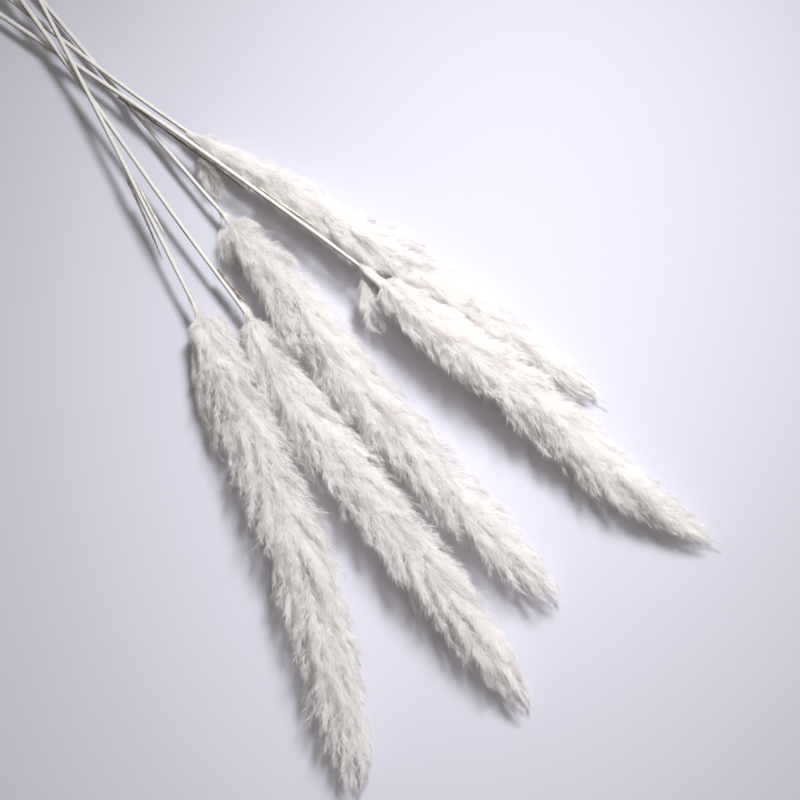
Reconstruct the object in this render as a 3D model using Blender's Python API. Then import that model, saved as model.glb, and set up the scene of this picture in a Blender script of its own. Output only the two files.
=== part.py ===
"""A bunch of five dried, bleached reed plumes, lying on a flat surface.

Each reed is a thin hollow straw whose top end sits in the base of a long downy plume. The lowest branch
of every plume forks off at the base and hangs apart, and some straws still carry split strips of leaf
sheath. The straws cross near their cut ends, one above the other, and fan out towards the plumes.

Lengths below are in millimetres. +X runs from the cut ends to the plume tips, +Y to the bunch's side
where reed 5 lies, and +Z up. The surface is z = 0.
"""
import math

import bpy
from mathutils import Vector

MM = 0.001

# The middle of the bunch's plan, in the layout that the routes below are given in.
PLAN_CENTRE = (151.5, -24.1)

# Straws
STRAW_CUT_RADIUS = 1.6
STRAW_TOP_RADIUS = 1.1
HOLLOW_RADIUS = 0.8
HOLLOW_DEPTH = 14.0
SOCKET_DEPTH = 12.0
STRAW_SIDES = 10
STRAW_RINGS = 16
STRAW_SEARCH_STATIONS = 301

# Plumes
PLUME_BASE_RADIUS = 2.6
PLUME_TIP_RADIUS = 0.7
PLUME_SIDES = 14
PLUME_RINGS = 30
SOCKET_RINGS = 4
SOCKET_END_GAP = 0.02
FLUFF_HEIGHT = 1.05  # a plume's height above its middle, as a share of its half width
SAG = 3.0  # how far the down below a plume's middle would reach under the surface, which flattens it
HANG = 1.4  # a plume whose middle is higher than this share of its own height hangs clear of the surface
TAPER_POWER = 0.75
BROAD_LUMP = 0.05
BROAD_LUMPS = 4.3
NARROW_LUMP = 0.04
NARROW_LUMPS = 9.1

# Side branches
BRANCH_END_RADIUS = 0.6
BELLY_LATENESS = 1.5
BELLY_POWER = 0.8
BRANCH_SIDES = 8
BRANCH_RINGS = 9

# Leaf sheath strips
SHEATH_WIDTH = 2.2
SHEATH_THICKNESS = 0.5
SHEATH_RINGS = 7
SHEATH_END_SHARE = 0.35
SHEATH_START = 0.25
SHEATH_ROOM = 2.6

# Clearance between neighbouring pieces, and between plumes that press into each other
GAP = 0.35
PLUME_GAP = 0.9

# Steps that a route's length is measured in, and the angle past which an edge stays sharp
ROUTE_STEPS = 400
SHARP_ANGLE = 40

# One entry a reed. The straw runs through its points from the cut end to the plume's base, and the plume
# from there to its tip. half_width is the plume's at its fullest, rise is the share of its length over
# which it swells, fullness says how late it tapers, and lumps turns the swellings along it.
REEDS = {
    1: {
        "straw": [(-148, 39.0, 10.5), (-32, 10.0, 15.4), (38, -6.8, 15.6), (98, -22.5, 14.2)],
        "base": (158, -38, 12.5),
        "plume": [(194, -46.5, 14), (245, -64.5, 16), (300, -83, 16), (357, -109.5, 15), (400, -133, 12)],
        "tip": (437, -154.5, 6),
        "half_width": 19.8, "rise": 0.09, "fullness": 8.0, "lumps": 0.10,
    },
    2: {
        "straw": [(-126, 13.5, 8.5), (-35, 1.8, 12.3), (37, -5.0, 12.2), (105, -12.2, 11.0)],
        "base": (182, -18.5, 10.5),
        "plume": [(216, -23.6, 12.5), (262, -30.4, 15), (325, -34.2, 14.5), (394, -38.8, 13)],
        "tip": (467, -46, 6),
        "half_width": 18.6, "rise": 0.10, "fullness": 5.2, "lumps": 0.45,
    },
    3: {
        "straw": [(-164, 13.0, 2.1), (-31, 11.4, 4.2), (42, 10.0, 5.8), (90, 9.2, 7.6)],
        "base": (132, 9.6, 9.5),
        "plume": [(168, 9.6, 13), (206, 4.8, 15.5), (266, 2.7, 15.5), (325, 4, 14.5), (385, 4.6, 12)],
        "tip": (430.5, 9.5, 6),
        "half_width": 17.2, "rise": 0.08, "fullness": 9.0, "lumps": 0.75,
    },
    4: {
        "straw": [(-158, -25.0, 5.5), (-35, 0.8, 8.0), (7, 8.5, 9.2), (39, 16.0, 9.4)],
        "base": (84, 26.6, 8.8),
        "plume": [(116, 37, 9.5), (165, 51.5, 11), (205, 63.8, 11.5), (250, 76.8, 11.5), (300, 90.2, 9)],
        "tip": (356, 105.5, 4),
        "half_width": 19.0, "rise": 0.26, "fullness": 3.3, "lumps": 0.20,
    },
    5: {
        "straw": [(-146, -39.0, 3.5), (-44, -12.1, 6.4), (23, 6.6, 10.2), (115, 29.5, 16.8)],
        "base": (210, 50.8, 21.5),
        "plume": [(244, 56.5, 22), (288, 66.5, 18.5), (337, 75.2, 13.5), (387, 80, 11), (424, 89.6, 8)],
        "tip": (462, 101.5, 5),
        "half_width": 18.4, "rise": 0.13, "fullness": 4.0, "lumps": 0.60,
    },
}

# The lowest branch of each seed head: its fork, its middle and its tip, its half width, and the plumes
# that it lies against.
SIDE_BRANCHES = {
    1: {"route": [(166, -46.5, 11.5), (198, -65, 8.5), (236, -84.5, 6)], "half_width": 6.2, "clear_of": (1,)},
    2: {"route": [(189, -25, 9), (198, -33, 7), (214, -39, 5)], "half_width": 4.4, "clear_of": (2, 1)},
    3: {"route": [(131, 5.6, 8.6), (143, 0.5, 7), (157, -5, 5)], "half_width": 5.4, "clear_of": (3,)},
    4: {"route": [(91, 24, 7.4), (104, 18, 5.5), (119, 14, 4)], "half_width": 5, "clear_of": (4,)},
    5: {"route": [(208, 47, 19.8), (223, 40.5, 14.5), (242, 35, 9)], "half_width": 7, "clear_of": (5,)},
}

# Split sheath strips: the reed they are on, where along X they start and end, the side they lie on
# (+1 is towards +Y) and how far the free end stands off the straw.
SHEATHS = {
    "sheath_1_long": {"reed": 1, "span": (70, 126), "side": -1, "splay": 2.6},
    "sheath_1_short": {"reed": 1, "span": (84, 118), "side": 1, "splay": 1.6},
    "sheath_2_bract": {"reed": 2, "span": (150, 176), "side": 1, "splay": 1.8},
    "sheath_5_long": {"reed": 5, "span": (36, 128), "side": -1, "splay": 1.5},
    "sheath_5_short": {"reed": 5, "span": (131, 173), "side": 1, "splay": 1.2},
}

STRAW_COLOUR = (0.80, 0.75, 0.65, 1.0)
PLUME_COLOUR = (0.90, 0.88, 0.84, 1.0)
SHEATH_COLOUR = (0.62, 0.52, 0.38, 1.0)


def clear_scene():
    for old in list(bpy.data.objects):
        bpy.data.objects.remove(old, do_unlink=True)


def make_material(name, colour, roughness):
    material = bpy.data.materials.new(name)
    material.use_nodes = True
    shader = material.node_tree.nodes["Principled BSDF"]
    shader.inputs["Base Color"].default_value = colour
    shader.inputs["Roughness"].default_value = roughness
    shader.inputs["Metallic"].default_value = 0.0
    return material


def world(point):
    """A layout point in millimetres as a world point in metres."""
    return Vector((point[0] - PLAN_CENTRE[0], point[1] - PLAN_CENTRE[1], point[2])) * MM


def smooth_point(points, position):
    """A point on the smooth curve through the points; position counts them, from 0."""
    last = len(points) - 1
    index = min(int(position), last - 1)
    t = position - index
    here = Vector(points[index])
    there = Vector(points[index + 1])
    before = Vector(points[index - 1]) if index > 0 else here * 2 - there
    after = Vector(points[index + 2]) if index + 2 <= last else there * 2 - here
    blend = (there - before) * 0.5
    bend = before - here * 2.5 + there * 2 - after * 0.5
    twist = (here - there) * 1.5 + (after - before) * 0.5
    return here + blend * t + bend * t ** 2 + twist * t ** 3


def route_stations(points, first, last, count):
    """Evenly spaced stations along the smooth curve, each a point and its two crosswise directions."""
    fine = [smooth_point(points, first + (last - first) * i / ROUTE_STEPS) for i in range(ROUTE_STEPS + 1)]
    travelled = [0.0]
    for a, b in zip(fine, fine[1:]):
        travelled.append(travelled[-1] + (b - a).length)
    stations = []
    index = 0
    for i in range(count):
        wanted = travelled[-1] * i / (count - 1)
        while index < ROUTE_STEPS - 1 and travelled[index + 1] < wanted:
            index += 1
        part = (wanted - travelled[index]) / (travelled[index + 1] - travelled[index])
        point = fine[index].lerp(fine[index + 1], part)
        forward = (fine[min(index + 2, ROUTE_STEPS)] - fine[max(index - 1, 0)]).normalized()
        side = Vector((0, 0, 1)).cross(forward).normalized()
        stations.append((point, side, forward.cross(side)))
    return stations


def round_ring(station, radius, sides):
    """A ring of points round a station, anticlockwise when seen from further along the route."""
    point, side, up = station
    ring = []
    for i in range(sides):
        angle = 2 * math.pi * i / sides
        ring.append(point + side * (radius * math.cos(angle)) + up * (radius * math.sin(angle)))
    return ring


def loft(name, rings, material):
    """A closed body through rings of equal count, capped at both ends."""
    sides = len(rings[0])
    vertices = [world(point) for ring in rings for point in ring]
    faces = [list(range(sides))[::-1]]
    for k in range(len(rings) - 1):
        for i in range(sides):
            a = k * sides + i
            b = k * sides + (i + 1) % sides
            faces.append((a, b, b + sides, a + sides))
    faces.append([(len(rings) - 1) * sides + i for i in range(sides)])
    mesh = bpy.data.meshes.new(name)
    mesh.from_pydata(vertices, [], faces)
    mesh.materials.append(material)
    mesh.shade_smooth()
    mesh.set_sharp_from_angle(angle=math.radians(SHARP_ANGLE))
    body = bpy.data.objects.new(name, mesh)
    bpy.context.scene.collection.objects.link(body)
    return body


def reed_points(reed):
    return reed["straw"] + [reed["base"]] + reed["plume"] + [reed["tip"]]


def base_position(reed):
    """Where the plume's base falls along the reed's points."""
    return float(len(reed["straw"]))


def socket_position(reed):
    """Where the straw's top end falls along the reed's points, inside the plume's base."""
    first = Vector(reed["base"])
    second = Vector(reed["plume"][0])
    return base_position(reed) + SOCKET_DEPTH / (second - first).length


def make_straw(name, reed, material, margin=0.0):
    """A straw, tapering upwards, with its hollow open at the cut end."""
    stations = route_stations(reed_points(reed), 0.0, socket_position(reed), STRAW_RINGS)
    rings = []
    if margin == 0.0:
        point, side, up = stations[0]
        forward = side.cross(up)
        floor_of_hollow = (point + forward * HOLLOW_DEPTH, side, up)
        rings.append(round_ring(floor_of_hollow, HOLLOW_RADIUS, STRAW_SIDES))
        rings.append(round_ring(stations[0], HOLLOW_RADIUS, STRAW_SIDES))
    for i, station in enumerate(stations):
        taper = i / (STRAW_RINGS - 1)
        radius = STRAW_CUT_RADIUS + (STRAW_TOP_RADIUS - STRAW_CUT_RADIUS) * taper
        rings.append(round_ring(station, radius + margin, STRAW_SIDES))
    return loft(name, rings, material)


def swell(t, rise, fullness):
    """How full a plume is along its length: a quick rise, a long belly and a closing tip."""
    return (1 - math.exp(-t / rise)) * max(1 - t ** fullness, 0.0) ** TAPER_POWER


def lumpiness(t, angle, lumps):
    """The swellings of a plume's tufts, as a factor on its radius."""
    along = 2 * math.pi * t
    broad = BROAD_LUMP * math.sin(BROAD_LUMPS * along + 2 * math.pi * lumps + angle)
    narrow = NARROW_LUMP * math.sin(NARROW_LUMPS * along + 2 * angle)
    return 1 + broad + narrow


def plume_ring(station, reed, t, margin):
    """One section of a plume: round above, and sagging onto the surface where it lies low."""
    point, side, up = station
    fill = swell(t, reed["rise"], reed["fullness"])
    base = PLUME_BASE_RADIUS * (1 - t) + PLUME_TIP_RADIUS * t
    ring = []
    for i in range(PLUME_SIDES):
        angle = 2 * math.pi * i / PLUME_SIDES
        lump = lumpiness(t, angle, reed["lumps"])
        half_width = base + (reed["half_width"] - base) * fill * lump
        top = half_width * FLUFF_HEIGHT
        sag = min(max((HANG - point.z / top) / (HANG - 1), 0.0), 1.0)
        bottom = top + sag * (point.z + SAG - top)
        height = top if math.sin(angle) > 0 else bottom
        place = point + side * ((half_width + margin) * math.cos(angle))
        place += up * ((height + margin) * math.sin(angle))
        place.z = max(place.z, 0.0)
        ring.append(place)
    return ring


def make_plume(name, reed, material, margin=0.0):
    """A plume's main head, with the socket that the straw's top end sits in."""
    points = reed_points(reed)
    stations = route_stations(points, base_position(reed), len(points) - 1, PLUME_RINGS)
    rings = []
    if margin == 0.0:
        bore = STRAW_TOP_RADIUS + GAP
        last = socket_position(reed) + SOCKET_END_GAP
        socket = route_stations(points, base_position(reed), last, SOCKET_RINGS)
        for station in reversed(socket):
            rings.append(round_ring(station, bore, PLUME_SIDES))
    for i, station in enumerate(stations):
        rings.append(plume_ring(station, reed, i / (PLUME_RINGS - 1), margin))
    return loft(name, rings, material)


def make_side_branch(name, branch, material):
    """A drooping side branch, which opens from its fork and closes quickly at its tip."""
    stations = route_stations(branch["route"], 0.0, 2.0, BRANCH_RINGS)
    rings = []
    for i, station in enumerate(stations):
        t = i / (BRANCH_RINGS - 1)
        belly = math.sin(math.pi * t ** BELLY_LATENESS) ** BELLY_POWER
        radius = BRANCH_END_RADIUS + (branch["half_width"] - BRANCH_END_RADIUS) * belly
        ring = round_ring(station, radius, BRANCH_SIDES)
        for place in ring:
            place.z = max(place.z, 0.0)
        rings.append(ring)
    return loft(name, rings, material)


def straw_station_at(reed, x):
    """The station of a reed's straw at a place along X."""
    points = reed_points(reed)
    stations = route_stations(points, 0.0, base_position(reed), STRAW_SEARCH_STATIONS)
    return min(stations, key=lambda station: abs(station[0].x - x))


def make_sheath(name, sheath, material):
    """A thin strip that hugs one side of the straw and splays away to a point."""
    reed = REEDS[sheath["reed"]]
    start, end = sheath["span"]
    rings = []
    for i in range(SHEATH_RINGS):
        t = i / (SHEATH_RINGS - 1)
        point, side, up = straw_station_at(reed, start + (end - start) * t)
        fill = math.sin(math.pi * min(t + SHEATH_START, 1.0))
        width = SHEATH_WIDTH * (SHEATH_END_SHARE + (1 - SHEATH_END_SHARE) * fill)
        inner = STRAW_CUT_RADIUS + GAP + sheath["splay"] * t ** 2
        outer = inner + SHEATH_THICKNESS
        near = point + side * (sheath["side"] * inner)
        far = point + side * (sheath["side"] * outer)
        corners = [near - up * width / 2, far - up * width / 2, far + up * width / 2, near + up * width / 2]
        if sheath["side"] < 0:
            corners.reverse()
        rings.append(corners)
    return loft(name, rings, material)


def cut_by(body, cutter):
    """Cut the body back from a cutter, which stays as an unseen helper."""
    cutter.hide_render = True
    cutter.display_type = "WIRE"
    cut = body.modifiers.new("clear_of_" + cutter.name, "BOOLEAN")
    cut.operation = "DIFFERENCE"
    cut.solver = "EXACT"
    cut.object = cutter


def main():
    clear_scene()
    straw_material = make_material("straw", STRAW_COLOUR, 0.55)
    plume_material = make_material("plume", PLUME_COLOUR, 0.95)
    sheath_material = make_material("sheath", SHEATH_COLOUR, 0.8)

    plumes = {}
    room = {}
    for number, reed in REEDS.items():
        make_straw(f"stem_{number}", reed, straw_material)
        plumes[number] = make_plume(f"plume_{number}", reed, plume_material)
        room[number] = make_plume(f"room_for_plume_{number}", reed, plume_material, PLUME_GAP)

    # Plumes 1, 2 and 3 press into each other's sides, and reed 5 lies across plume 4 and dents it.
    cut_by(plumes[1], room[2])
    cut_by(plumes[2], room[3])
    cut_by(plumes[4], room[5])
    cut_by(plumes[4], make_straw("room_for_stem_5", REEDS[5], straw_material, SHEATH_ROOM))

    for number, branch in SIDE_BRANCHES.items():
        body = make_side_branch(f"side_branch_{number}", branch, plume_material)
        for neighbour in branch["clear_of"]:
            cut_by(body, room[neighbour])

    for name, sheath in SHEATHS.items():
        make_sheath(name, sheath, sheath_material)


main()
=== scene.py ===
"""A bunch of five dried, bleached reeds that lies on a pale surface, seen from straight above.

Each reed is a thin straw stem that runs into a long plume of down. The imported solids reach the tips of
the down; here each one is replaced by its real build: a thin axis, side branches that sweep towards the
tip, and on every branch a brush of fine hairs that keeps to the solid's outline, drawn back a little
along the straw at a plume's base. Lengths are in metres, and every place is measured from the frame's
own solids.
"""

import math

import bpy
import numpy as np
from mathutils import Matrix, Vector
from mathutils.bvhtree import BVHTree


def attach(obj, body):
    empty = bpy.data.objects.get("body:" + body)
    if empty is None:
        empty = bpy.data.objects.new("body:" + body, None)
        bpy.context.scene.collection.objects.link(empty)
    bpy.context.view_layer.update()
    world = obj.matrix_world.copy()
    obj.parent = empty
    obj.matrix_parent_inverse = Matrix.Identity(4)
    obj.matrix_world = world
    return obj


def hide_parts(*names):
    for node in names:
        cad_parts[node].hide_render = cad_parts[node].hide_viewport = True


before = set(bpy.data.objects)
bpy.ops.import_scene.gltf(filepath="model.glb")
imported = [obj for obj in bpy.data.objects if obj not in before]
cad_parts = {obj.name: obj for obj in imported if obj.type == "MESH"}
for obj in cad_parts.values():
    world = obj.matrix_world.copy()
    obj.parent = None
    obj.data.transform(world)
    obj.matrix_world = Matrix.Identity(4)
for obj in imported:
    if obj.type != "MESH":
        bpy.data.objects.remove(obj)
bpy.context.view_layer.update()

MM = 0.001
FLOOR_GAP = 0.15 * MM  # the lowest hairs stay this far above the floor
END_DEPTH = 1.8 * MM  # a solid's end ring lies within this of its first or last point along X
END_WEIGHT = 12  # how hard a fitted centre line holds on to the solid's two ends
RAY_REACH = 60 * MM  # no surface is further than this from its centre line
CLOSED_END_SHARE = 0.7  # a station with no surface round it gets this share of its neighbour's reach
UP = np.array([0.0, 0.0, 1.0])
FULL_TURN = 2 * math.pi

REEDS = (1, 2, 3, 4, 5)


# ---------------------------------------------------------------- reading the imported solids


def solid_arrays(node):
    """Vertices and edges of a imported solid."""
    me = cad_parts[node].data
    co = np.empty(len(me.vertices) * 3)
    me.vertices.foreach_get("co", co)
    edges = np.empty(len(me.edges) * 2, int)
    me.edges.foreach_get("vertices", edges)
    return co.reshape(-1, 3), edges.reshape(-1, 2)


def unit(v):
    return v / np.maximum(np.linalg.norm(v, axis=-1, keepdims=True), 1e-12)


class Axis:
    """The centre line of a long solid that runs roughly along +X, by length from its first end."""

    def __init__(self, node, degree, cuts=80, trim=0.07, samples=200):
        co, edges = solid_arrays(node)
        x0, x1 = co[:, 0].min(), co[:, 0].max()
        a, b = co[edges[:, 0]], co[edges[:, 1]]
        mids = []
        for x in np.linspace(x0, x1, cuts + 2)[1:-1]:
            hit = (a[:, 0] - x) * (b[:, 0] - x) < 0
            t = (x - a[hit, 0]) / (b[hit, 0] - a[hit, 0])
            p = a[hit] + t[:, None] * (b[hit] - a[hit])
            mids.append((p.min(0) + p.max(0)) / 2)
        mids = np.array(mids)
        inner = (mids[:, 0] > x0 + trim * (x1 - x0)) & (mids[:, 0] < x1 - trim * (x1 - x0))
        ends = []
        for x in (x0, x1):
            ends.append(co[np.abs(co[:, 0] - x) < END_DEPTH].mean(0))
        points = np.vstack([ends[0], mids[inner], ends[1]])
        weights = np.ones(len(points))
        weights[[0, -1]] = END_WEIGHT
        xs = np.linspace(ends[0][0], ends[1][0], samples)
        line = [xs]
        for k in (1, 2):
            fit = np.polynomial.Polynomial.fit(points[:, 0], points[:, k], degree, w=weights)
            line.append(fit(xs))
        self.points = np.array(line).T
        steps = np.linalg.norm(np.diff(self.points, axis=0), axis=1)
        self.s = np.concatenate([[0], np.cumsum(steps)])
        self.length = self.s[-1]
        self.tangents = unit(np.gradient(self.points, self.s, axis=0))

    def at(self, s):
        """Centre, tangent, sideways and upward directions at lengths s; past an end it runs straight on."""
        s = np.asarray(s, float)
        inside = np.clip(s, 0, self.length)
        centre = np.stack([np.interp(inside, self.s, self.points[:, k]) for k in range(3)], -1)
        tangent = unit(np.stack([np.interp(inside, self.s, self.tangents[:, k]) for k in range(3)], -1))
        centre = centre + tangent * (s - inside)[..., None]
        side = unit(np.cross(tangent, UP))
        up = np.cross(side, tangent)
        return centre, tangent, side, up


class Envelope:
    """How far a solid's surface is from its centre line, by length and by angle round the line."""

    def __init__(self, node, axis, stations=110, angles=48):
        self.axis = axis
        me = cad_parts[node].data
        me.calc_loop_triangles()
        tree = BVHTree.FromPolygons([v.co for v in me.vertices], [t.vertices for t in me.loop_triangles])
        self.s = np.linspace(0, axis.length, stations)
        self.angles = angles
        centre, _, side, up = axis.at(self.s)
        phi = np.arange(angles) * FULL_TURN / angles
        reach = np.zeros((stations, angles))
        for i in range(stations):
            for j in range(angles):
                d = side[i] * math.cos(phi[j]) + up[i] * math.sin(phi[j])
                hit = tree.ray_cast(Vector(centre[i]), Vector(d), RAY_REACH)
                reach[i, j] = hit[3] if hit[0] is not None else 0.0
        for i in range(stations):  # a ray that starts just outside the solid borrows its neighbours' reach
            bad = reach[i] <= 0
            if bad.any() and not bad.all():
                reach[i, bad] = reach[i, ~bad].min()
        empty = np.flatnonzero((reach <= 0).all(1))
        full = np.flatnonzero((reach > 0).all(1))
        for i in empty:
            reach[i] = reach[full[np.abs(full - i).argmin()]] * CLOSED_END_SHARE
        self.reach = reach

    def radius(self, s, phi):
        """The reach at lengths s and angles phi, read between the measured ones."""
        u = np.clip(np.asarray(s) / self.axis.length, 0, 1) * (len(self.s) - 1)
        v = (np.asarray(phi) / FULL_TURN % 1.0) * self.angles
        i = np.minimum(u.astype(int), len(self.s) - 2)
        j = v.astype(int) % self.angles
        k = (j + 1) % self.angles
        fu, fv = u - i, v - np.floor(v)
        low = self.reach[i, j] * (1 - fv) + self.reach[i, k] * fv
        high = self.reach[i + 1, j] * (1 - fv) + self.reach[i + 1, k] * fv
        return low * (1 - fu) + high * fu

    def mean(self, s):
        """The mean reach round the line at lengths s."""
        return np.interp(s, self.s, self.reach.mean(1))


# ---------------------------------------------------------------- mesh making


def mesh_object(name, vertices, faces, along, tone, uv, normals=None):
    """A mesh of triangles with its two colour values per point, its map and its shading normals."""
    me = bpy.data.meshes.new(name)
    count = len(faces)
    me.vertices.add(len(vertices))
    me.vertices.foreach_set("co", np.ascontiguousarray(vertices, np.float32).ravel())
    me.loops.add(count * 3)
    me.loops.foreach_set("vertex_index", faces.ravel().astype(np.int32))
    me.polygons.add(count)
    me.polygons.foreach_set("loop_start", np.arange(0, count * 3, 3, dtype=np.int32))
    me.update(calc_edges=True)
    me.validate()
    me.shade_smooth()
    for key, values in (("along", along), ("tone", tone)):
        attribute = me.attributes.new(key, "FLOAT", "POINT")
        attribute.data.foreach_set("value", values.astype(np.float32))
    layer = me.uv_layers.new(name="OFBake")
    layer.data.foreach_set("uv", uv.astype(np.float32).ravel())
    if normals is not None:
        me.normals_split_custom_set(normals.astype(np.float32))
    ob = bpy.data.objects.new(name, me)
    bpy.context.scene.collection.objects.link(ob)
    return ob


def add_piece(ob, node, material):
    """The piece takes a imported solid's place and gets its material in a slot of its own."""
    ob.data.materials.append(material)
    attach(ob, "root")
    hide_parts(node)


def tubes(paths, radii, sides):
    """Closed tubes round many paths of as many points each: vertices, triangles, each vertex's ring."""
    count, rings, _ = paths.shape
    tangent = unit(np.gradient(paths, axis=1))
    side = unit(np.cross(tangent, UP))
    up = np.cross(side, tangent)
    turn = np.arange(sides) * FULL_TURN / sides
    around = side[:, :, None] * np.cos(turn)[:, None] + up[:, :, None] * np.sin(turn)[:, None]
    vertices = (paths[:, :, None] + around * radii[:, :, None, None]).reshape(-1, 3)
    ring = np.tile(np.repeat(np.arange(rings), sides), count)
    j = np.arange(sides)
    k = (j + 1) % sides
    faces = []
    for i in range(rings - 1):
        a, b = i * sides + j, i * sides + k
        c, d = a + sides, b + sides
        faces += [np.stack([a, d, b], -1), np.stack([a, c, d], -1)]
    for fan in range(1, sides - 1):
        last = (rings - 1) * sides
        faces += [np.array([[0, fan, fan + 1]]), np.array([[last, last + fan + 1, last + fan]])]
    faces = np.concatenate(faces)
    offsets = np.arange(count) * rings * sides
    faces = (faces[None] + offsets[:, None, None]).reshape(-1, 3)
    normals = around.reshape(-1, 3)
    return vertices, faces, ring / (rings - 1), normals


def blades(root, tip, middle, bend, width):
    """Flat hairs of two triangles each: a root, a tip and two corners that give the middle its width."""
    count = len(root)
    centre = root + (tip - root) * middle[:, None] + bend
    vertices = np.stack([root, centre - width, centre + width, tip], 1).reshape(-1, 3)
    faces = np.array([[0, 1, 2], [1, 3, 2]])
    faces = (faces[None] + 4 * np.arange(count)[:, None, None]).reshape(-1, 3)
    return vertices, faces


# ---------------------------------------------------------------- plumes

GOLDEN_TURN = 2.39996  # radians: branches one after another never line up
TURN_JITTER = 0.25
SPREAD_STEPS = 240
SPREAD_EXTRA = 2.5 * MM  # added to the mean reach where branch tips are shared out along a plume
SHORTEST_BRANCH = 6 * MM
REACH_ALONG = ([0, 0.75, 1], [1, 1, 0.75])  # branches get shorter towards the plume's tip
RAGGED_FACING = 0.1  # the cosine of a branch's angle above which it is on the ragged side
TWIG_RINGS = 6
TWIG_SIDES = 3
RACHIS_POINTS = 26
RACHIS_SIDES = 8
POINT_START = 0.96  # the share of the stalk where its needle point starts
POINT_RADIUS = 0.12  # millimetres

INNER_HAIRS = 0.55  # how many hairs an inner branch has, against an outer one
UNDERSIDE = -0.55  # the sine of a branch's angle below which it is pressed on the floor
UNDERSIDE_HAIRS = 0.6
FULL_BRANCH = 40 * MM  # a branch this long has its full share of hairs
HAIR_SHARE = (0.3, 1.3)
LOOK_AHEAD = 0.03  # how far along a branch its direction is read
FLATTENED = 0.75  # a tuft is this much thinner than it is wide
FAN_ON_BRANCH = ([0.85, 1], [1, 0.6])  # hairs close up at a branch's tip,
FAN_ON_PLUME = ([0, 0.1, 0.85, 1], [0.6, 1, 1, 0.35])  # and at the plume's base and tip
LENGTH_ON_PLUME = ([0, 0.08, 0.8, 1], [1.2, 1, 1, 0.85])
STRAY_ON_PLUME = ([0.85, 1], [1, 0.2])  # fewer hairs stray past the outline near the tip
PAST_THE_TIP = 1.5 * MM
PAST_THE_OUTLINE = 0.3 * MM
ROLL = 0.6  # radians that a hair's blade turns away from facing outwards
MOST_BEND = 0.04
WIDEST_AT = (0.35, 0.55)

COARSE_TONE, FINE_TONE, TWIG_TONE, RACHIS_TONE = 0.78, 0.45, 0.4, 0.3
BRANCH_TONE_JITTER = 0.09
HAIR_TONE_JITTER = 0.13
TONE_LIMITS = (0.03, 0.97)
# How far along the down's colour ramps a hair's root, its two middle corners and its tip are.
CROWDED_HAIR = [0.0, 0.1, 0.1, 0.2]
AIRY_HAIR = [0.25, 0.55, 0.55, 1.0]
TWIG_ALONG = 0.3
RACHIS_ALONG = 0.2
MAP_SPREAD = 0.003  # keeps a triangle's corners apart on its map


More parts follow.
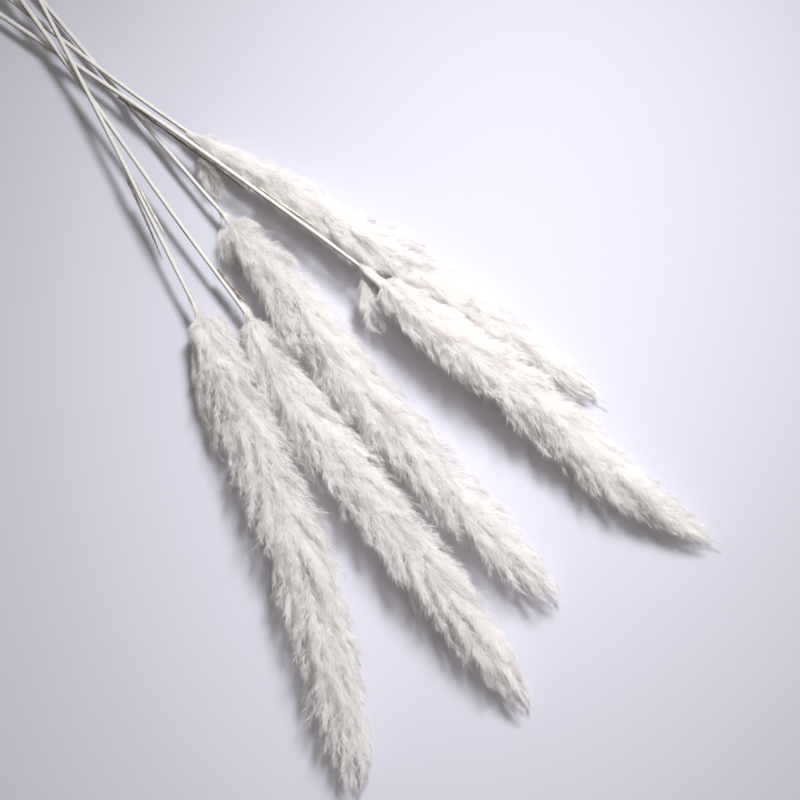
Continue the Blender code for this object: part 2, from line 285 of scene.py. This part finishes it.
class Branches:
    """The side branches of one plume: where they leave its stalk, where they end and how they sweep."""

    def __init__(self, envelope, plan, rng):
        self.envelope, self.plan = envelope, plan
        length = envelope.axis.length
        self.count = count = plan["branches"]

        # Branch tips are spread evenly over the surface of the plume.
        grid = np.linspace(plan["first_tip"] * MM, length - plan["last_gap"] * MM, SPREAD_STEPS)
        share = np.cumsum(envelope.mean(self.drawn_back(grid)) + SPREAD_EXTRA)
        share = share / share[-1]
        rank = (np.arange(count) + rng.random(count)) / count
        self.s_tip = np.interp(rank, share, grid)
        self.phi = np.arange(count) * GOLDEN_TURN + rng.normal(0, TURN_JITTER, count)

        # How far out the tips are, as a share of the outline, and how far past it their hairs may go.
        self.inner = rng.random(count) < plan["inner_share"]
        inside = rng.uniform(*plan["inner_place"], count)
        outside = rng.uniform(*plan["outer_place"], count)
        self.rho = np.where(self.inner, inside, outside)
        self.bound = rng.uniform(*plan["tip_limit"], count)
        ragged = np.where(np.cos(self.phi) > RAGGED_FACING, 1.0, plan["smooth_side"])
        proud = ~self.inner & (rng.random(count) < plan["proud_share"] * ragged)
        self.rho = np.where(proud, rng.uniform(*plan["proud_place"], count), self.rho)
        self.bound = np.where(proud, plan["proud_limit"], self.bound)

        reach = rng.uniform(*plan["branch_length"], count) * MM
        self.reach = reach * np.interp(self.s_tip / length, *REACH_ALONG)
        s_root = np.maximum(self.s_tip - self.reach, rng.uniform(*plan["first_root"], count) * MM)
        self.s_root = np.minimum(s_root, self.s_tip - SHORTEST_BRANCH)
        self.twist = rng.normal(0, plan["twist"], count)
        self.rise = rng.uniform(*plan["rise"], count)

    def drawn_back(self, s):
        """Where the outline at lengths s is read on the solid: at a plume's base the down is drawn back."""
        if self.plan["base"] is None:
            return s
        length = self.envelope.axis.length
        start, collar, end = (mm * MM for mm in self.plan["base"])
        return np.interp(s, [start, end, length], [collar, end, length])

    def outline(self, s, angle):
        """How far out the down goes at lengths s and angles."""
        return self.envelope.radius(self.drawn_back(s), angle)

    def path(self, t, b):
        """Points at shares t of branches b, with the plume's direction, outward direction, s and angle."""
        s = self.s_root[b] + (self.s_tip[b] - self.s_root[b]) * t
        angle = self.phi[b] + self.twist[b] * (t - 1)
        r = self.rho[b] * (1 - np.clip(1 - t, 0, 1) ** self.rise[b]) * self.outline(s, angle)
        centre, tangent, side, up = self.envelope.axis.at(s)
        out = side * np.cos(angle)[..., None] + up * np.sin(angle)[..., None]
        return centre + out * r[..., None], tangent, out, s, angle

    def twigs(self):
        """Every branch's own stalk."""
        t = np.linspace(0, 1, TWIG_RINGS)[None]
        b = np.repeat(np.arange(self.count)[:, None], TWIG_RINGS, 1)
        paths = self.path(np.repeat(t, self.count, 0), b)[0]
        thick = np.interp(t[0], [0, 1], self.plan["twig"])[None] * MM * np.ones((self.count, 1))
        return tubes(paths, thick, TWIG_SIDES)

    def rachis(self, fork):
        """The stalk that they all leave, which starts at the fork on a side branch."""
        axis, plan = self.envelope.axis, self.plan
        core = axis.at(np.linspace(plan["core_start"], plan["core_end"], RACHIS_POINTS) * axis.length)[0]
        if fork is not None:
            core = np.vstack([fork + (core[0] - fork) * [[0.0], [0.5]], core])
        radii = [*plan["rachis"], POINT_RADIUS]
        taper = np.interp(np.linspace(0, 1, len(core)), [0, POINT_START, 1], radii)
        return tubes(core[None], taper[None] * MM, RACHIS_SIDES)

    def drawn_in(self, tip, s, root, tangent, owner):
        """Hair tips, with those that would pass the plume's outline drawn in to it."""
        length = self.envelope.axis.length
        st = s + np.einsum("ij,ij->i", tip - root, tangent)
        st = np.minimum(st, length + PAST_THE_TIP)
        centre, _, side, up = self.envelope.axis.at(st)
        rel = tip - centre
        x, y = np.einsum("ij,ij->i", rel, side), np.einsum("ij,ij->i", rel, up)
        r, a = np.hypot(x, y), np.arctan2(y, x)
        most = self.outline(st, a) * self.bound[owner] + PAST_THE_OUTLINE
        stray = self.plan["stray"] * np.interp(st / length, *STRAY_ON_PLUME)
        r = np.where(r > most, most + (r - most) * stray, r)
        return centre + side * (r * np.cos(a))[:, None] + up * (r * np.sin(a))[:, None]

    def hairs(self, hairs, rng):
        """So many hairs, as blades: their corners, triangles, normals, places on the ramps and tones."""
        plan, length = self.plan, self.envelope.axis.length
        weight = np.where(self.inner, INNER_HAIRS, 1.0) * np.clip(self.reach / FULL_BRANCH, *HAIR_SHARE)
        weight = weight * np.where(np.sin(self.phi) < UNDERSIDE, UNDERSIDE_HAIRS, 1.0)
        owner = rng.choice(self.count, hairs, p=weight / weight.sum())
        place = 1 - rng.random(hairs) ** plan["crowding"] * plan["bare"]
        root, tangent, out, s, _ = self.path(place, owner)
        ahead = self.path(np.minimum(place + LOOK_AHEAD, 1 + LOOK_AHEAD), owner)[0]
        along_branch = unit(ahead - root)
        across = unit(np.cross(along_branch, out))
        over = np.cross(across, along_branch)

        spin = rng.uniform(0, FULL_TURN, hairs)
        loose = rng.random(hairs) < plan["loose_share"]
        loose_fan, close_fan = rng.uniform(*plan["loose_fan"], hairs), rng.uniform(*plan["fan"], hairs)
        fan = np.radians(np.where(loose, loose_fan, close_fan))
        fan = fan * np.interp(place, *FAN_ON_BRANCH) * np.interp(s / length, *FAN_ON_PLUME)
        aside = across * np.cos(spin)[:, None] + over * (np.sin(spin) * FLATTENED)[:, None]
        d = unit(along_branch * np.cos(fan)[:, None] + aside * np.sin(fan)[:, None])
        size = rng.uniform(*plan["hair_length"], hairs) * MM
        size = size * np.interp(s / length, *LENGTH_ON_PLUME)
        tip = self.drawn_in(root + d * size[:, None], s, root, tangent, owner)

        # Shading normals lean upwards and towards the tuft's and the plume's outward directions, as light
        # scattered in down does; a hair's own direction shares the rest.
        relief, lift = plan["tuft_relief"], plan["lift"]
        lean = unit(out * (1 - relief - lift) + aside * relief + UP * lift)
        chord = tip - root
        size = np.linalg.norm(chord, axis=1)
        d = unit(chord)
        flat = unit(np.cross(d, lean))
        roll = rng.normal(0, ROLL, hairs)
        w = flat * np.cos(roll)[:, None] + np.cross(d, flat) * np.sin(roll)[:, None]
        coarse = rng.random(hairs) < plan["coarse_share"]
        coarse_width, fine_width = rng.uniform(*plan["coarse"], hairs), rng.uniform(*plan["fine"], hairs)
        width = np.where(coarse, coarse_width, fine_width) * MM
        bow = np.cross(w, d)
        bow = bow * np.sign(np.einsum("ij,ij->i", bow, lean) + 1e-9)[:, None]
        w = np.cross(bow, d)
        bend = bow * (size * rng.uniform(0.0, MOST_BEND, hairs))[:, None]
        vertices, faces = blades(root, tip, rng.uniform(*WIDEST_AT, hairs), bend, w * width[:, None] / 2)
        soft = plan["softness"]
        normals = np.repeat(unit(lean * soft + unit(bow) * (1 - soft)), faces.size // hairs, 0)

        branch_tone = rng.normal(0, BRANCH_TONE_JITTER, self.count)
        hair_tone = np.where(coarse, COARSE_TONE, FINE_TONE) + branch_tone[owner]
        tone = np.clip(hair_tone + rng.normal(0, HAIR_TONE_JITTER, hairs), *TONE_LIMITS)
        crowded = (self.inner | (np.sin(self.phi) < plan["dense_below"]))[owner]
        along = np.where(crowded[:, None], [CROWDED_HAIR], [AIRY_HAIR]).ravel()
        return vertices, faces, normals, along, np.repeat(tone, len(AIRY_HAIR))


def brush(envelope, plan, rng, fork=None):
    """The branches and hairs of one plume, or of a side branch that leaves its straw at the fork."""
    branches = Branches(envelope, plan, rng)
    twig_v, twig_f, twig_t, twig_n = branches.twigs()
    rachis_v, rachis_f, rachis_t, rachis_n = branches.rachis(fork)
    hairs = (plan["triangles"] - len(twig_f) - len(rachis_f)) // 2
    hair_v, hair_f, hair_n, hair_along, hair_tones = branches.hairs(hairs, rng)

    vertices = np.concatenate([hair_v, twig_v, rachis_v])
    vertices[:, 2] = np.maximum(vertices[:, 2], FLOOR_GAP)
    faces = np.concatenate([hair_f, twig_f + len(hair_v), rachis_f + len(hair_v) + len(twig_v)])
    normals = np.concatenate([hair_n, twig_n[twig_f.ravel()], rachis_n[rachis_f.ravel()]])
    along = np.concatenate([hair_along, twig_t * TWIG_ALONG, rachis_t * RACHIS_ALONG])
    stalk_tones = [np.full(len(twig_v), TWIG_TONE), np.full(len(rachis_v), RACHIS_TONE)]
    tones = np.concatenate([hair_tones, *stalk_tones])
    hair_spread = np.tile([0.0, -MAP_SPREAD, MAP_SPREAD, 0.0], hairs)
    twig_spread = np.tile([-MAP_SPREAD, 0, MAP_SPREAD], len(twig_v) // TWIG_SIDES)
    spread = np.concatenate([hair_spread, twig_spread, np.zeros(len(rachis_v))])
    uv = np.stack([0.1 + 0.5 * along, np.clip(tones, 0.02, 0.98) + spread], -1)[faces.ravel()]
    return vertices, faces, along, tones, uv, normals


# ---------------------------------------------------------------- straws and sheath strips

STRAW_SIDES = 28
STRAW_RINGS = 130
HOLLOW_DEPTH = 14 * MM
HOLLOW_SHARE = 0.5  # the hollow's width, as a share of the straw's at its cut end
HOLLOW_RINGS = [1.0, 0.9, 0.02]  # its widths at the mouth, at its bottom, and where its bottom closes
STRAW_SWELL = 1.02  # its grooves take a little off the solid's width
GROOVES = ((9, 0.035), (14, 0.02))  # how many run round the straw, and their depth as a share of its width
DRIFT = 0.5  # radians that the grooves wander round the straw
DRIFT_PITCHES = (0.19, 0.11)  # metres
UNEVEN = 0.03
UNEVEN_PITCHES = (0.043, 0.027, 0.017)
STREAK_DRIFT = 0.35
STREAK_PITCHES = (0.07, 0.031)
PALE_TONE = 0.88
# Painted shade: the wall inside the straw's hollow is painted dark.
HOLLOW_SHADE_TONE = 0.3
# Painted shade: the straw's shaded side is darkened by a dark brown streak at this angle round it.
PAINTED_SHADE_SIDE = math.radians(24)  # where round the straw its brown streak runs
STREAK_WIDTH = math.radians(40)
STREAK_DEPTH = 0.85
SHEATH_STEPS = 48
SHEATH_COLUMNS = 8
SHEATH_THICKNESS = 0.14 * MM
SHEATH_WIDTH = 2.4 * MM
SHEATH_WIDTHS = ([0, 0.15, 0.6, 0.92, 1], [0.5, 1.0, 0.95, 0.45, 0.08])  # shares of that, along the strip
SHEATH_CURL = 0.55  # how far its middle stands off its edges, as a share of half its width
SHEATH_PITCHES = (0.23, 0.11, 0.047)  # shares of its length
SHEATH_SLOPE = math.radians(38)  # its lower edge stands off the straw

# Each strip's reed, and how brown it is: 0 is bleached, 1 is brown all over. This is the sheath's own
# brown, and on sheath_5_long it is also painted shade along stem 5's lower side.
SHEATHS = {
    "sheath_1_long": (1, 0.55),
    "sheath_1_short": (1, 0.2),
    "sheath_2_bract": (2, 0.75),
    # Painted shade: this strip's near-full brown also stands in for the shade along stem 5's lower side.
    "sheath_5_long": (5, 0.95),
    "sheath_5_short": (5, 0.3),
}


def waves(x, rng, pitches):
    """A smooth random line: one sine for each pitch, with heights that add up to about 1."""
    total = np.zeros_like(x)
    for pitch in pitches:
        total += np.sin(FULL_TURN * (x / pitch + rng.random())) / len(pitches)
    return total


def grid_faces(rows, columns):
    """Triangles of a closed band of rings, and each corner's place on its map."""
    i, j = np.meshgrid(np.arange(rows - 1), np.arange(columns), indexing="ij")
    i, j = i.ravel(), j.ravel()
    k = (j + 1) % columns
    a, b, c, d = i * columns + j, i * columns + k, (i + 1) * columns + k, (i + 1) * columns + j
    faces = np.stack([a, b, c, a, c, d], -1).reshape(-1, 3)
    u0, u1 = i / (rows - 1), (i + 1) / (rows - 1)
    v0, v1 = j / columns, (j + 1) / columns
    uv = np.stack([u0, v0, u0, v1, u1, v1, u0, v0, u1, v1, u1, v0], -1).reshape(-1, 2)
    return faces, uv


def straw_stem(node, axis, rng):
    """A grooved straw with its hollow at the cut end, and painted shade: a dark brown streak down its
    shaded side.
    """
    envelope = Envelope(node, axis, stations=40, angles=20)
    radius_at = np.median(envelope.reach, axis=1)
    s = np.linspace(0, axis.length, STRAW_RINGS)
    radius = np.polyval(np.polyfit(envelope.s[4:-2], radius_at[4:-2], 1), s) * STRAW_SWELL
    turn = np.arange(STRAW_SIDES) * FULL_TURN / STRAW_SIDES
    drift = DRIFT * waves(s, rng, DRIFT_PITCHES)
    phase = turn[None] + drift[:, None]
    grooves = sum(depth * np.sin(number * phase + rng.random() * 6) for number, depth in GROOVES)
    uneven = UNEVEN * waves(s, rng, UNEVEN_PITCHES)
    centre, _, side, up = axis.at(s)
    around = side[:, None] * np.cos(turn)[:, None] + up[:, None] * np.sin(turn)[:, None]
    outer = centre[:, None] + around * (radius[:, None] * (1 + grooves + uneven[:, None]))[..., None]
    mouth, _, mouth_side, mouth_up = axis.at(np.array([0.0, HOLLOW_DEPTH, HOLLOW_DEPTH]))
    bore = radius[0] * HOLLOW_SHARE * np.array(HOLLOW_RINGS)
    inner = []
    for k in (2, 1, 0):
        ring = mouth_side[k] * np.cos(turn)[:, None] + mouth_up[k] * np.sin(turn)[:, None]
        inner.append(mouth[k] + ring * bore[k])
    close = centre[-1] + around[-1] * radius[-1] * HOLLOW_RINGS[-1]
    rings = np.concatenate([np.array(inner), outer, close[None]])
    faces, uv = grid_faces(len(rings), STRAW_SIDES)

    # The painted shade streak is darkest at its angle round the straw and fades within its width.
    away = turn[None] - PAINTED_SHADE_SIDE + STREAK_DRIFT * drift[:, None]
    away = np.abs((away + math.pi) % FULL_TURN - math.pi)
    streak = np.clip(1.1 - away / STREAK_WIDTH, 0, 1)
    streak = streak * (0.75 + 0.35 * waves(s, rng, STREAK_PITCHES))[:, None]
    fibres = 0.10 * np.sin(11 * phase + 2) + 0.08 * np.sin(17 * phase) - 2.2 * grooves.clip(-0.05, 0)
    tone = np.clip(PALE_TONE - STREAK_DEPTH * streak + 0.5 * fibres, 0.02, 0.98)
    # The hollow's three inner rings take the painted shade.
    tone = np.concatenate([np.full((3, STRAW_SIDES), HOLLOW_SHADE_TONE), tone, tone[-1:]])
    along = np.concatenate([np.zeros(3), s / axis.length, [1.0]])
    along = np.repeat(along, STRAW_SIDES)
    vertices = rings.reshape(-1, 3)
    vertices[:, 2] = np.maximum(vertices[:, 2], FLOOR_GAP)
    return vertices, faces, along, tone.ravel(), uv


def sheath_strip(node, stem_axis, brown_and_shade, rng):
    """A curled papery strip that hugs the straw and splays to a ragged tip, with brown edges."""
    axis = Axis(node, 3, cuts=40)
    t = np.linspace(0, 1, SHEATH_STEPS)
    centre, _, side, up = axis.at(t * axis.length)
    stem_s = np.interp(centre[:, 0], stem_axis.points[:, 0], stem_axis.s)
    outward = unit(centre - stem_axis.at(stem_s)[0])
    width = SHEATH_WIDTH * np.interp(t, *SHEATH_WIDTHS)
    width = width * (1 + 0.12 * waves(t, rng, SHEATH_PITCHES))
    curl = SHEATH_CURL * np.interp(t, [0, 1], [1.0, 0.5])
    q = np.linspace(-1, 1, SHEATH_COLUMNS)
    ragged = 1 + 0.10 * rng.normal(0, 1, (SHEATH_STEPS, SHEATH_COLUMNS)) * (np.abs(q) > 0.9)
    slope = unit(up * math.cos(SHEATH_SLOPE) - outward * math.sin(SHEATH_SLOPE))
    face = unit(outward * math.cos(SHEATH_SLOPE) + up * math.sin(SHEATH_SLOPE))
    across = slope[:, None] * (width[:, None] / 2 * q * ragged)[..., None]
    bulge = face[:, None] * (curl[:, None] * width[:, None] / 2 * (1 - q**2) - 0.1 * MM)[..., None]
    skin = centre[:, None] + across + bulge
    back = skin - face[:, None] * SHEATH_THICKNESS
    rings = np.concatenate([skin, back[:, ::-1]], 1)
    tip = rings.mean(1, keepdims=True)
    columns = rings.shape[1]
    rings = np.concatenate([np.repeat(tip[:1], columns, 1), rings, np.repeat(tip[-1:], columns, 1)])
    faces, uv = grid_faces(len(rings), columns)
    normal = np.cross(rings[20, 1] - rings[20, 0], rings[21, 0] - rings[20, 0])
    if normal @ outward[20] < 0:
        faces = faces[:, ::-1]
        uv = uv.reshape(-1, 3, 2)[:, ::-1].reshape(-1, 2)
    edge = np.interp(np.abs(np.concatenate([q, q[::-1]])), [0.55, 1], [0, 1])
    fibres = 0.12 * np.sin(np.arange(columns) * 2.4 + rng.random() * 6)
    # How brown a strip is darkens all of it: its own colour, and on sheath_5_long painted shade too.
    tone = 0.88 - 0.55 * brown_and_shade - (0.25 + 0.3 * brown_and_shade) * edge + fibres
    tone = tone[None] + 0.12 * waves(np.linspace(0, 1, len(rings)), rng, (0.5, 0.19))[:, None]
    along = np.repeat(np.linspace(0, 1, len(rings)), columns)
    vertices = rings.reshape(-1, 3)
    vertices[:, 2] = np.maximum(vertices[:, 2], FLOOR_GAP)
    return vertices, faces, along, np.clip(tone, 0.02, 0.98).ravel(), uv


# ---------------------------------------------------------------- materials


def ramp(nodes, stops):
    """A colour ramp node with its stops as (place, colour)."""
    node = nodes.new("ShaderNodeValToRGB")
    elements = node.color_ramp.elements
    while len(elements) < len(stops):
        elements.new(0.5)
    for element, (place, colour) in zip(elements, stops):
        element.position = place
        element.color = (*colour, 1)
    return node


# The share of light that finds its way past a hair: little in the plume's crowded core, most at the tips.
AT_CORE = (0.02, 0.019, 0.018)
AT_ROOT = (0.64, 0.634, 0.628)
AT_MIDDLE = (0.79, 0.785, 0.78)
AT_TIP = (0.92, 0.917, 0.914)
THROUGH_SHARE = 0.6  # how much of the light that a hair scatters comes out of its far side
TONE_STOPS = [(0, (0.86, 0.84, 0.815)), (0.6, (0.965, 0.96, 0.955)), (1, (1.0, 1.0, 1.0))]


def down_material(name, root, middle, tip):
    """Silky down: light passes through each hair, and the colour runs from its root to its tip."""
    m = bpy.data.materials.new(name)
    m.use_nodes = True
    nodes, links = m.node_tree.nodes, m.node_tree.links
    shader = nodes["Principled BSDF"]
    shader.inputs["Roughness"].default_value = 0.75
    shader.inputs["Specular IOR Level"].default_value = 0.3
    shader.inputs["Sheen Weight"].default_value = 0.4
    shader.inputs["Sheen Roughness"].default_value = 0.5
    along = nodes.new("ShaderNodeAttribute")
    along.attribute_name = "along"
    tone = nodes.new("ShaderNodeAttribute")
    tone.attribute_name = "tone"
    light = ramp(nodes, [(0, root), (0.35, middle), (1, tip)])
    links.new(along.outputs["Fac"], light.inputs["Fac"])
    shade = ramp(nodes, TONE_STOPS)
    links.new(tone.outputs["Fac"], shade.inputs["Fac"])
    mix = nodes.new("ShaderNodeMix")
    mix.data_type = "RGBA"
    mix.blend_type = "MULTIPLY"
    mix.inputs["Factor"].default_value = 1
    links.new(light.outputs["Color"], mix.inputs["A"])
    links.new(shade.outputs["Color"], mix.inputs["B"])
    links.new(mix.outputs["Result"], shader.inputs["Base Color"])
    through = nodes.new("ShaderNodeBsdfTranslucent")
    links.new(mix.outputs["Result"], through.inputs["Color"])
    blend = nodes.new("ShaderNodeMixShader")
    blend.inputs["Fac"].default_value = THROUGH_SHARE
    links.new(shader.outputs["BSDF"], blend.inputs[1])
    links.new(through.outputs["BSDF"], blend.inputs[2])
    # Light finds its way between the hairs: what a hair would shade, it lets through in part.
    path = nodes.new("ShaderNodeLightPath")
    between = nodes.new("ShaderNodeBsdfTransparent")
    passed = ramp(nodes, [(0.12, AT_CORE), (0.3, AT_ROOT), (0.6, AT_MIDDLE), (1, AT_TIP)])
    links.new(along.outputs["Fac"], passed.inputs["Fac"])
    links.new(passed.outputs["Color"], between.inputs["Color"])
    airy = nodes.new("ShaderNodeMixShader")
    links.new(path.outputs["Is Shadow Ray"], airy.inputs["Fac"])
    links.new(blend.outputs["Shader"], airy.inputs[1])
    links.new(between.outputs["BSDF"], airy.inputs[2])
    links.new(airy.outputs["Shader"], nodes["Material Output"].inputs["Surface"])
    return m


FIBRE_STRETCH = (60, 2600, 2600)  # fibres are much longer than they are wide
FIBRE_RELIEF = 0.2 * MM


def stalk_material(name, stops, roughness, relief):
    """Dry bleached stalk: fine fibres run along it, in colour and in relief."""
    m = bpy.data.materials.new(name)
    m.use_nodes = True
    nodes, links = m.node_tree.nodes, m.node_tree.links
    shader = nodes["Principled BSDF"]
    shader.inputs["Roughness"].default_value = roughness
    shader.inputs["Specular IOR Level"].default_value = 0.35
    tone = nodes.new("ShaderNodeAttribute")
    tone.attribute_name = "tone"
    place = nodes.new("ShaderNodeTexCoord")
    stretch = nodes.new("ShaderNodeMapping")
    stretch.inputs["Scale"].default_value = FIBRE_STRETCH
    links.new(place.outputs["Object"], stretch.inputs["Vector"])
    fibres = nodes.new("ShaderNodeTexNoise")
    fibres.inputs["Scale"].default_value = 1
    fibres.inputs["Detail"].default_value = 3
    links.new(stretch.outputs["Vector"], fibres.inputs["Vector"])
    shift = nodes.new("ShaderNodeMath")
    shift.operation = "MULTIPLY_ADD"
    shift.inputs[1].default_value = 0.5
    links.new(fibres.outputs["Fac"], shift.inputs[0])
    lower = nodes.new("ShaderNodeMath")
    lower.operation = "SUBTRACT"
    lower.inputs[1].default_value = 0.25
    links.new(tone.outputs["Fac"], lower.inputs[0])
    links.new(lower.outputs["Value"], shift.inputs[2])
    colour = ramp(nodes, stops)
    links.new(shift.outputs["Value"], colour.inputs["Fac"])
    links.new(colour.outputs["Color"], shader.inputs["Base Color"])
    bump = nodes.new("ShaderNodeBump")
    bump.inputs["Strength"].default_value = relief
    bump.inputs["Distance"].default_value = FIBRE_RELIEF
    links.new(fibres.outputs["Fac"], bump.inputs["Height"])
    links.new(bump.outputs["Normal"], shader.inputs["Normal"])
    return m


def plain_material(name, colour, roughness):
    """One colour and roughness all over."""
    m = bpy.data.materials.new(name)
    m.use_nodes = True
    shader = m.node_tree.nodes["Principled BSDF"]
    shader.inputs["Base Color"].default_value = (*colour, 1)
    shader.inputs["Roughness"].default_value = roughness
    return m


down = down_material("down", (0.825, 0.801, 0.773), (0.884, 0.870, 0.853), (0.907, 0.895, 0.882))
STALK_STOPS = [
    (0.0, (0.045, 0.029, 0.019)),
    (0.3, (0.15, 0.108, 0.072)),
    (0.6, (0.46, 0.42, 0.345)),
    (0.85, (0.61, 0.597, 0.55)),
    (1.0, (0.69, 0.683, 0.65)),
]
straw = stalk_material("straw", STALK_STOPS, 0.5, 0.25)
paper = stalk_material("sheath_paper", STALK_STOPS, 0.65, 0.4)

# ---------------------------------------------------------------- the bunch

PLUME_PLAN = dict(
    branches=1000,  # lengths in these plans are in millimetres, and angles in degrees but for the twist
    triangles=178000,
    base=(-11, 1, 32),  # the outline between the last two lengths is drawn back to start at the first
    first_root=(-14, -5),  # where the first branches leave the stalk; 0 is the solid's first end
    first_tip=-3,
    last_gap=6,
    inner_share=0.25,
    inner_place=(0.45, 0.8),
    outer_place=(0.76, 1.0),
    branch_length=(20, 38),
    rise=(0.9, 1.25),
    twist=0.25,
    twig=(0.18, 0.08),
    rachis=(0.9, 0.3),
    core_start=0.04,
    core_end=0.97,  # shares of the plume's length that its stalk runs between
    crowding=1.15,
    bare=0.85,
    fan=(18, 42),
    loose_share=0.25,
    loose_fan=(30, 60),
    hair_length=(4, 8),
    tip_limit=(1.0, 1.3),
    proud_share=0.28,
    smooth_side=0.25,
    proud_place=(0.98, 1.16),
    proud_limit=1.5,
    stray=0.55,
    coarse_share=0.2,
    coarse=(0.26, 0.42),
    fine=(0.13, 0.25),
    softness=0.6,
    tuft_relief=0.06,
    lift=0.78,
    dense_below=0.1,
)
BRANCH_PLAN = dict(
    PLUME_PLAN,
    branches=30,
    triangles=7000,
    base=None,
    first_root=(0.5, 5),
    first_tip=7,
    last_gap=1,
    branch_length=(14, 30),
    twist=0.35,
    twig=(0.2, 0.08),
    rachis=(0.45, 0.15),
    core_start=0,
    hair_length=(4, 7.5),
    tip_limit=(1.1, 1.8),
    fan=(18, 44),
    proud_share=0.7,
    smooth_side=1,
    proud_place=(1.0, 1.4),
    proud_limit=2.0,
    stray=0.8,
    fine=(0.12, 0.22),
    coarse=(0.22, 0.36),
)
POINTED_PLAN = dict(PLUME_PLAN, core_end=1.015)
PLUME_PLANS = {1: PLUME_PLAN, 2: PLUME_PLAN, 3: PLUME_PLAN, 4: POINTED_PLAN, 5: POINTED_PLAN}
SPARSE_PLAN = dict(
    BRANCH_PLAN,
    branches=18,
    triangles=4000,
    loose_share=0.6,
    coarse_share=0,
)
FORK_BACK = 5 * MM  # how far behind a side branch's first point it leaves its straw
BRANCH_PLANS = {1: BRANCH_PLAN, 2: BRANCH_PLAN, 3: SPARSE_PLAN, 4: SPARSE_PLAN, 5: BRANCH_PLAN}

stem_axes = {}
for number in REEDS:
    rng = np.random.default_rng(200 + number)
    node = f"stem_{number}"
    stem_axes[number] = Axis(node, 6)
    add_piece(mesh_object(f"{node}_straw", *straw_stem(node, stem_axes[number], rng)), node, straw)

for number in REEDS:
    rng = np.random.default_rng(100 + number)
    node = f"plume_{number}"
    envelope = Envelope(node, Axis(node, 4))
    add_piece(mesh_object(f"{node}_down", *brush(envelope, PLUME_PLANS[number], rng)), node, down)

    node = f"side_branch_{number}"
    envelope = Envelope(node, Axis(node, 2), stations=40)
    stem = stem_axes[number]
    fork_x = min(envelope.axis.points[0, 0] - FORK_BACK, stem.points[-1, 0])
    fork = stem.at(np.interp(fork_x, stem.points[:, 0], stem.s))[0]
    tuft = brush(envelope, BRANCH_PLANS[number], rng, fork)
    add_piece(mesh_object(f"{node}_down", *tuft), node, down)

for node, (number, brown_and_shade) in SHEATHS.items():
    rng = np.random.default_rng(300 + len(node) + number)
    strip = sheath_strip(node, stem_axes[number], brown_and_shade, rng)
    add_piece(mesh_object(f"{node}_strip", *strip), node, paper)

# ---------------------------------------------------------------- floor, light and camera

CAMERA_AIM = Vector((0.126, 0.0404, 0.015))
CAMERA_TURN = math.radians(49)
CAMERA_HEIGHT = 1.2
CAMERA_CLIP = 0.01
SENSOR_WIDTH = 36
VIEW_WIDTH = 0.464  # what the picture takes in at the height of CAMERA_AIM
IMAGE_RIGHT = Vector((math.cos(CAMERA_TURN), math.sin(CAMERA_TURN), 0))
IMAGE_UP = Vector((-math.sin(CAMERA_TURN), math.cos(CAMERA_TURN), 0))

FLOOR_SIZE = 30.0
FLOOR_COLOUR = (0.580, 0.573, 0.638)
floor_mesh = bpy.data.meshes.new("floor")
half = FLOOR_SIZE / 2
corners = [(-half, -half, 0), (half, -half, 0), (half, half, 0), (-half, half, 0)]
floor_mesh.from_pydata(corners, [], [(0, 1, 2, 3)])
floor = bpy.data.objects.new("floor", floor_mesh)
bpy.context.scene.collection.objects.link(floor)
floor_mesh.materials.append(plain_material("floor", FLOOR_COLOUR, 0.9))

world = bpy.data.worlds.new("studio")
bpy.context.scene.world = world
world.use_nodes = True
SKY_COLOUR = (1.0, 0.956, 0.859, 1)
SKY_STRENGTH = 0.298
SKY_LEAN = 0.3  # how much brighter the room is on the window's side than overhead, and darker opposite
window_side = (IMAGE_RIGHT * 0.25 + IMAGE_UP * 0.97).normalized()
sky_nodes, sky_links = world.node_tree.nodes, world.node_tree.links
sky = sky_nodes["Background"]
sky.inputs["Color"].default_value = SKY_COLOUR
room = sky_nodes.new("ShaderNodeTexCoord")
facing = sky_nodes.new("ShaderNodeVectorMath")
facing.operation = "DOT_PRODUCT"
facing.inputs[1].default_value = window_side
glow = sky_nodes.new("ShaderNodeMath")
glow.operation = "MULTIPLY_ADD"
glow.inputs[1].default_value = SKY_STRENGTH * SKY_LEAN
glow.inputs[2].default_value = SKY_STRENGTH
sky_links.new(room.outputs["Generated"], facing.inputs[0])
sky_links.new(facing.outputs["Value"], glow.inputs[0])
sky_links.new(glow.outputs["Value"], sky.inputs["Strength"])


def lamp(name, right, up, height, aim_right, aim_up, size, power, colour, spread):
    """A soft round lamp, placed by distances along the picture's right and up from its centre."""
    data = bpy.data.lights.new(name, "AREA")
    data.shape = "DISK"
    data.size = size
    data.energy = power
    data.color = colour
    data.spread = math.radians(spread)
    ob = bpy.data.objects.new(name, data)
    bpy.context.scene.collection.objects.link(ob)
    base = Vector((CAMERA_AIM.x, CAMERA_AIM.y, 0))
    ob.location = base + IMAGE_RIGHT * right + IMAGE_UP * up + Vector((0, 0, height))
    aim = base + IMAGE_RIGHT * aim_right + IMAGE_UP * aim_up
    ob.rotation_mode = "QUATERNION"
    ob.rotation_quaternion = (aim - ob.location).to_track_quat("-Z", "Y")
    return ob


lamp(
    "window",
    right=0.230,
    up=0.875,
    height=0.878,
    aim_right=0.029,
    aim_up=-0.088,
    size=0.28,
    power=2.19,
    colour=(0.934, 0.943, 1.0),
    spread=49.4,
)

camera = bpy.data.cameras.new("camera")
camera.sensor_width = SENSOR_WIDTH
camera.lens = camera.sensor_width * (CAMERA_HEIGHT - CAMERA_AIM.z) / VIEW_WIDTH
camera.clip_start = CAMERA_CLIP
camera_ob = bpy.data.objects.new("camera", camera)
bpy.context.scene.collection.objects.link(camera_ob)
camera_ob.location = (CAMERA_AIM.x, CAMERA_AIM.y, CAMERA_HEIGHT)
camera_ob.rotation_euler = (0, 0, CAMERA_TURN)
bpy.context.scene.camera = camera_ob
bpy.context.scene.view_settings.view_transform = "Standard"
